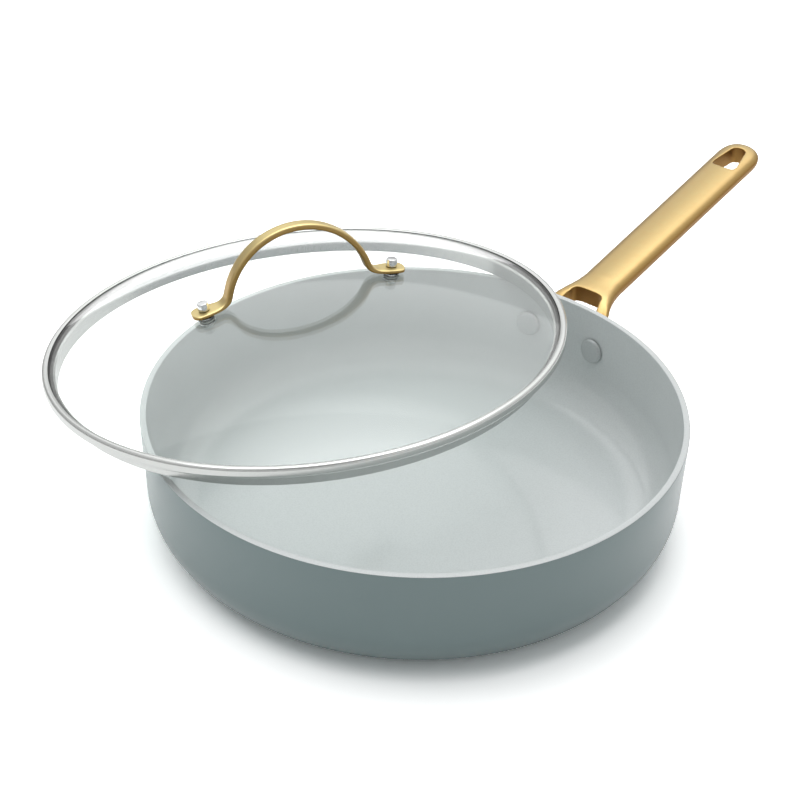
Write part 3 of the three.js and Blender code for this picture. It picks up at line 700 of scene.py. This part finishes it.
for i in range(1, len(line)):
    here = Vector(mm(line[i].x, 0, line[i].y))
    there = Vector(mm(line[i - 1].x, 0, line[i - 1].y))
    bpy.ops.mesh.extrude_region_move(TRANSFORM_OT_translate={"value": here - there})
    wider, thicker = sizes[i][0] / sizes[i - 1][0], sizes[i][1] / sizes[i - 1][1]
    bpy.ops.transform.rotate(value=-heading(i - 1), orient_axis="Y", center_override=here)
    bpy.ops.transform.resize(value=(1, wider, thicker), center_override=here)
    bpy.ops.transform.rotate(value=heading(i), orient_axis="Y", center_override=here)
bpy.ops.mesh.select_all(action="SELECT")
bpy.ops.mesh.normals_make_consistent(inside=False)
place(bar, lid_frame @ bar_turn)
for side in (-1, 1):
    drill(bar, fixing(side), FIXING_HOLE, FIXING_REACH)
hand_over(bar, "lid", [brushed_gold], smooth=40)

# %% [markdown]
# Each foot is held by a turned steel nut with a long barrel, a silicone ring on either side of the glass, a
# washer, and a cross-head screw from below. The nuts and screws are bright turned steel. The rings are soft
# and matt, with rounded edges: black above the glass, and a milky grade below it, which shows less.

# %% Turned steel
turned_steel, tree = blank("turned_bright_steel")
spot = add(tree, "ShaderNodeTexCoord").outputs["Object"]
marks = add(tree, "ShaderNodeTexNoise", None, {"Vector": spot, "Scale": per_metre(0.7), "Detail": 2})
rough = add(tree, "ShaderNodeMapRange", None, {"Value": marks.outputs["Fac"], "To Min": 0.1, "To Max": 0.2})
turned_look = {"Base Color": colour("#dadcdd"), "Metallic": 1, "Roughness": rough.outputs["Result"]}
shader = add(tree, "ShaderNodeBsdfPrincipled", None, turned_look)
add(tree, "ShaderNodeOutputMaterial", None, {"Surface": shader.outputs["BSDF"]})
print("finish:", turned_steel.name)

# %% Black and milky silicone
black_silicone, tree = blank("moulded_black_silicone")
spot = add(tree, "ShaderNodeTexCoord").outputs["Object"]
dust = add(tree, "ShaderNodeTexNoise", None, {"Vector": spot, "Scale": per_metre(0.6), "Detail": 3})
rough = add(tree, "ShaderNodeMapRange", None, {"Value": dust.outputs["Fac"], "To Min": 0.5, "To Max": 0.7})
silicone_look = {"Base Color": colour("#2a2a2b"), "Roughness": rough.outputs["Result"], "IOR": 1.41}
shader = add(tree, "ShaderNodeBsdfPrincipled", None, silicone_look)
add(tree, "ShaderNodeOutputMaterial", None, {"Surface": shader.outputs["BSDF"]})
print("finish:", black_silicone.name)

milky_silicone, tree = blank("moulded_milky_silicone")
spot = add(tree, "ShaderNodeTexCoord").outputs["Object"]
cloud = add(tree, "ShaderNodeTexNoise", None, {"Vector": spot, "Scale": per_metre(2), "Detail": 2})
tones = add(tree, "ShaderNodeValToRGB", None, {"Fac": cloud.outputs["Fac"]})
tones.color_ramp.elements[0].color = colour("#cdd0cd")
tones.color_ramp.elements[1].color = colour("#dcdedb")
milky_look = {"Base Color": tones.outputs["Color"], "Roughness": 0.4, "IOR": 1.41}
shader = add(tree, "ShaderNodeBsdfPrincipled", None, milky_look)
add(tree, "ShaderNodeOutputMaterial", None, {"Surface": shader.outputs["BSDF"]})
print("finish:", milky_silicone.name)

# %% [markdown]
# A nut's head sits on the foot, and its barrel goes down through the foot, the rings and the glass. The
# section also draws the blind bore, into which the screw comes up.

# %% Nuts
NUT_HEAD_R, NUT_HEAD_T, NUT_EASE, NUT_CHAMFER = 3, 4.2, 0.5, 0.2
NUT_BARREL_R, NUT_BELOW, SCREW_R = 2.4, 1.2, 1.3
nut_seat = GAP + SEAL_T + GAP + PAD_T + GAP
nut_end = -GLASS_T - NUT_BELOW
bore = SCREW_R + GAP
section = [(0, nut_seat), (bore, nut_seat), (bore, nut_end), (NUT_BARREL_R, nut_end)]
section += [(NUT_BARREL_R, nut_seat), (NUT_HEAD_R - NUT_CHAMFER, nut_seat)]
section += [(NUT_HEAD_R, nut_seat + NUT_CHAMFER)]
section += arc(NUT_HEAD_R - NUT_EASE, nut_seat + NUT_HEAD_T - NUT_EASE, NUT_EASE, 0, 90, 5)
section += [(0, nut_seat + NUT_HEAD_T)]
for side, word in ((1, "left"), (-1, "right")):
    nut = turned(f"lid_nut_{word}_look", section, SMALL_ROUND)
    place(nut, fixing(side))
    hand_over(nut, "lid", [turned_steel])

# %% [markdown]
# Rings and washers are the same form in different sizes, so one function makes them all: four quarter rounds,
# joined to a closed section and spun. They stack downward from the glass, with a small gap at each seat.

# %% Rings and washers
SEAL_R, SEAL_LOW_R, SEAL_IN, SEAL_EASE = 4.8, 4.2, 2.8, 0.3
WASHER_R, WASHER_IN, WASHER_T, WASHER_EASE = 4.3, 1.7, 0.8, 0.15


def ring(name, inner, outer, low, high, ease, side):
    """A flat ring with rounded edges, on one fixing."""
    section = arc(outer - ease, low + ease, ease, -90, 0, 4)
    section += arc(outer - ease, high - ease, ease, 0, 90, 4)
    section += arc(inner + ease, high - ease, ease, 90, 180, 4)
    section += arc(inner + ease, low + ease, ease, 180, 270, 4)
    made = turned(name, [*section, section[0]], SMALL_ROUND)
    place(made, fixing(side))
    return made


seal_high = -GLASS_T - GAP
seal_low = seal_high - SEAL_T
washer_high = seal_low - GAP
washer_low = washer_high - WASHER_T
for side, word in ((1, "left"), (-1, "right")):
    top = ring(f"lid_seal_top_{word}_look", SEAL_IN, SEAL_R, GAP, GAP + SEAL_T, SEAL_EASE, side)
    low = ring(f"lid_seal_low_{word}_look", SEAL_IN, SEAL_LOW_R, seal_low, seal_high, SEAL_EASE, side)
    for seal, finish in ((top, black_silicone), (low, milky_silicone)):
        hand_over(seal, "lid", [finish])
    heights = washer_low, washer_high
    washer = ring(f"lid_washer_{word}_look", WASHER_IN, WASHER_R, *heights, WASHER_EASE, side)
    hand_over(washer, "lid", [turned_steel])

# %% [markdown]
# The screw comes up from below into the nut. Its head is slightly domed with a rounded edge, and has a cross
# recess, cut by two blocks that lie across each other.

# %% Screws
SCREW_HEAD_R, SCREW_HEAD_T, SCREW_ABOVE, SCREW_POINT = 3.4, 1.8, 3, 0.3
DOME_FLAT, DOME_RISE, EDGE_R, EDGE_UP = 1.4, 0.05, 1.2, 1.4
CROSS_LONG, CROSS_WIDE, CROSS_DEEP = 3.6, 0.8, 2.4
screw_top = washer_low - GAP
head_low = screw_top - SCREW_HEAD_T
section = [(0, head_low), (DOME_FLAT, head_low + DOME_RISE)]
section += arc(SCREW_HEAD_R - EDGE_R, head_low + EDGE_UP, EDGE_R, -90, 0, 8)
section += [(SCREW_HEAD_R, screw_top), (SCREW_R, screw_top), (SCREW_R, SCREW_ABOVE - SCREW_POINT)]
section += [(SCREW_R - SCREW_POINT, SCREW_ABOVE), (0, SCREW_ABOVE)]
for side, word in ((1, "left"), (-1, "right")):
    screw = turned(f"lid_screw_{word}_look", section, SMALL_ROUND)
    for arm in ((CROSS_LONG, CROSS_WIDE), (CROSS_WIDE, CROSS_LONG)):
        clear()
        bpy.ops.mesh.primitive_cube_add(size=1, location=mm(0, 0, head_low), scale=mm(*arm, CROSS_DEEP))
        cutter = bpy.context.object
        clear()
        screw.select_set(True)
        bpy.context.view_layer.objects.active = screw
        cross = screw.modifiers.new("cross", "BOOLEAN")
        cross.object = cutter
        bpy.ops.object.modifier_apply(modifier="cross")
        bpy.data.objects.remove(cutter)
    place(screw, fixing(side))
    hand_over(screw, "lid", [turned_steel])

# %% [markdown]
# The set is a white product set: a round floor of pale paper, a white world, and two large soft lamps. The
# paper's colour is lighter where the camera sees it, straight or through the glass, so that it shows white
# and still keeps the pan's soft shadow.

# %% Floor
FLOOR_R, FLOOR_DOWN = 1150, 0.2
PAPER, PAPER_SEEN, PAPER_MIRRORED = 0.86, 1.85, 0.3
under_base = mm(0, 0, -FLOOR_DOWN)
clear()
bpy.ops.mesh.primitive_circle_add(vertices=96, radius=mm(FLOOR_R), fill_type="NGON", location=under_base)
floor = bpy.context.object
floor.name = "floor"
paper, tree = blank("white_paper_floor")
rays = add(tree, "ShaderNodeLightPath")
seen = add(tree, "ShaderNodeMath", {"operation": "MAXIMUM"}, {0: rays.outputs["Is Camera Ray"]})
tree.links.new(rays.outputs["Is Transmission Ray"], seen.inputs[1])
shown = {"Value": seen.outputs[0], "To Min": PAPER, "To Max": PAPER_SEEN}
bright = add(tree, "ShaderNodeMapRange", None, shown)
mirrored = {0: rays.outputs["Is Glossy Ray"], 1: PAPER_MIRRORED, 2: bright.outputs["Result"]}
bright = add(tree, "ShaderNodeMath", {"operation": "MULTIPLY_ADD"}, mirrored)
card = add(tree, "ShaderNodeBsdfDiffuse", None, {"Color": bright.outputs[0]})
add(tree, "ShaderNodeOutputMaterial", None, {"Surface": card.outputs["BSDF"]})
floor.data.materials.append(paper)
print("floor radius, mm:", FLOOR_R)

# %% [markdown]
# Polished metal and glass look like the room that they mirror. So mirror rays see a room that brightens
# upward to a lit ceiling, is a little darker at the left, and has a dark patch above the camera. Matt
# surfaces get a plain even light, and the camera sees white.

# %% World
MATT_LIGHT, OVER_CAMERA = 0.34, (0, -0.45, 0.89)
world = bpy.data.worlds.new("white_studio")
bpy.context.scene.world = world
world.use_nodes = True
tree = world.node_tree
tree.nodes.clear()
rays = add(tree, "ShaderNodeLightPath")
toward = add(tree, "ShaderNodeTexCoord").outputs["Generated"]
way = add(tree, "ShaderNodeSeparateXYZ", None, {"Vector": toward}).outputs
room = add(tree, "ShaderNodeValToRGB", None, {"Fac": way["Z"]})
steps = room.color_ramp.elements
steps[0].position, steps[0].color = 0.1, (0.5, 0.5, 0.5, 1)
steps[1].position, steps[1].color = 0.92, (4.5, 4.5, 4.5, 1)
for at, shine in ((0.2, 0.7), (0.3, 0.82), (0.65, 0.92), (0.8, 1.15), (0.86, 3.2)):
    steps.new(at).color = (shine, shine, shine, 1)
above = {0: toward, 1: OVER_CAMERA}
near = add(tree, "ShaderNodeVectorMath", {"operation": "DOT_PRODUCT"}, above).outputs["Value"]
dark = {"Value": near, "From Min": 0.8, "From Max": 0.93, "To Min": 1, "To Max": 0.2}
left = {"Value": way["X"], "From Min": -0.8, "From Max": 0.35, "To Min": 0.75, "To Max": 1}
for part in (dark, left):
    dim = add(tree, "ShaderNodeMapRange", None, part).outputs["Result"]
    room = add(tree, "ShaderNodeMath", {"operation": "MULTIPLY"}, {0: room.outputs[0], 1: dim})
mirrored = {"Value": rays.outputs["Is Glossy Ray"], "To Min": MATT_LIGHT, "To Max": room.outputs[0]}
soft = add(tree, "ShaderNodeMapRange", None, mirrored).outputs["Result"]
seen = add(tree, "ShaderNodeMath", {"operation": "MAXIMUM"}, {0: rays.outputs["Is Camera Ray"]})
tree.links.new(rays.outputs["Is Transmission Ray"], seen.inputs[1])
strength = add(tree, "ShaderNodeMapRange", None, {"Value": seen.outputs[0], "To Min": soft, "To Max": 1})
sky = add(tree, "ShaderNodeBackground", None, {"Strength": strength.outputs["Result"]})
sky.inputs["Color"].default_value = (1, 1, 1, 1)
add(tree, "ShaderNodeOutputWorld", None, {"Surface": sky.outputs["Background"]})
print("steps in the room's brightness:", len(steps))

# %% [markdown]
# Two large soft lamps light the set: a weak panel behind the pan, which edges its rims, and a broad one
# overhead, which gives the soft shadow. The overhead lamp is hidden from mirror rays and from glass, because
# its outline would show in them.


# %% Lamps
def soft_lamp(name, spot, aim, wide, high, power):
    clear()
    bpy.ops.object.light_add(type="AREA", location=spot)
    lamp = bpy.context.object
    lamp.name = name
    lamp.rotation_euler = (Vector(aim) - Vector(spot)).to_track_quat("-Z", "Y").to_euler()
    lamp.data.shape = "RECTANGLE"
    lamp.data.size = wide
    lamp.data.size_y = high
    lamp.data.energy = power
    print(name, "watts:", power)
    return lamp


soft_lamp("back_panel", (0.05, 1.106, 0.951), (0.05, 0.256, 0.051), 2.3, 1.13, 3.8)
bounce = soft_lamp("ceiling_bounce", (-0.25, 0.3, 1.6), (0, 0, 0), 2.4, 2, 24)
bounce.visible_glossy = False
bounce.visible_transmission = False

# %% [markdown]
# The camera stands about 0.7 m in front of the pan and half a metre up, looking down by 34 degrees, with a
# trace of roll, as in the photograph.

# %% Camera
CAM_SPOT, CAM_F_PX, PHOTO_PX, SENSOR_W = (0, -697.94, 532.75), 1635.39, 800, 36
YAW, PITCH, ROLL = -0.0116, 0.5898, 0.0284
forward = Vector((math.sin(YAW) * math.cos(PITCH), math.cos(YAW) * math.cos(PITCH), -math.sin(PITCH)))
right = Vector((math.cos(YAW), -math.sin(YAW), 0))
up = right.cross(forward)
side_axis = math.cos(ROLL) * right + math.sin(ROLL) * up
up_axis = math.cos(ROLL) * up - math.sin(ROLL) * right
aim = Matrix((side_axis, up_axis, -forward)).transposed().to_4x4()
clear()
bpy.ops.object.camera_add()
camera = bpy.context.object
camera.matrix_world = Matrix.Translation(mm(*CAM_SPOT)) @ aim
camera.data.sensor_width = SENSOR_W
camera.data.lens = CAM_F_PX / PHOTO_PX * SENSOR_W
camera.data.clip_start = 0.01
scene = bpy.context.scene
scene.camera = camera
scene.view_settings.view_transform = "Standard"
print("lens, mm:", round(camera.data.lens, 2))
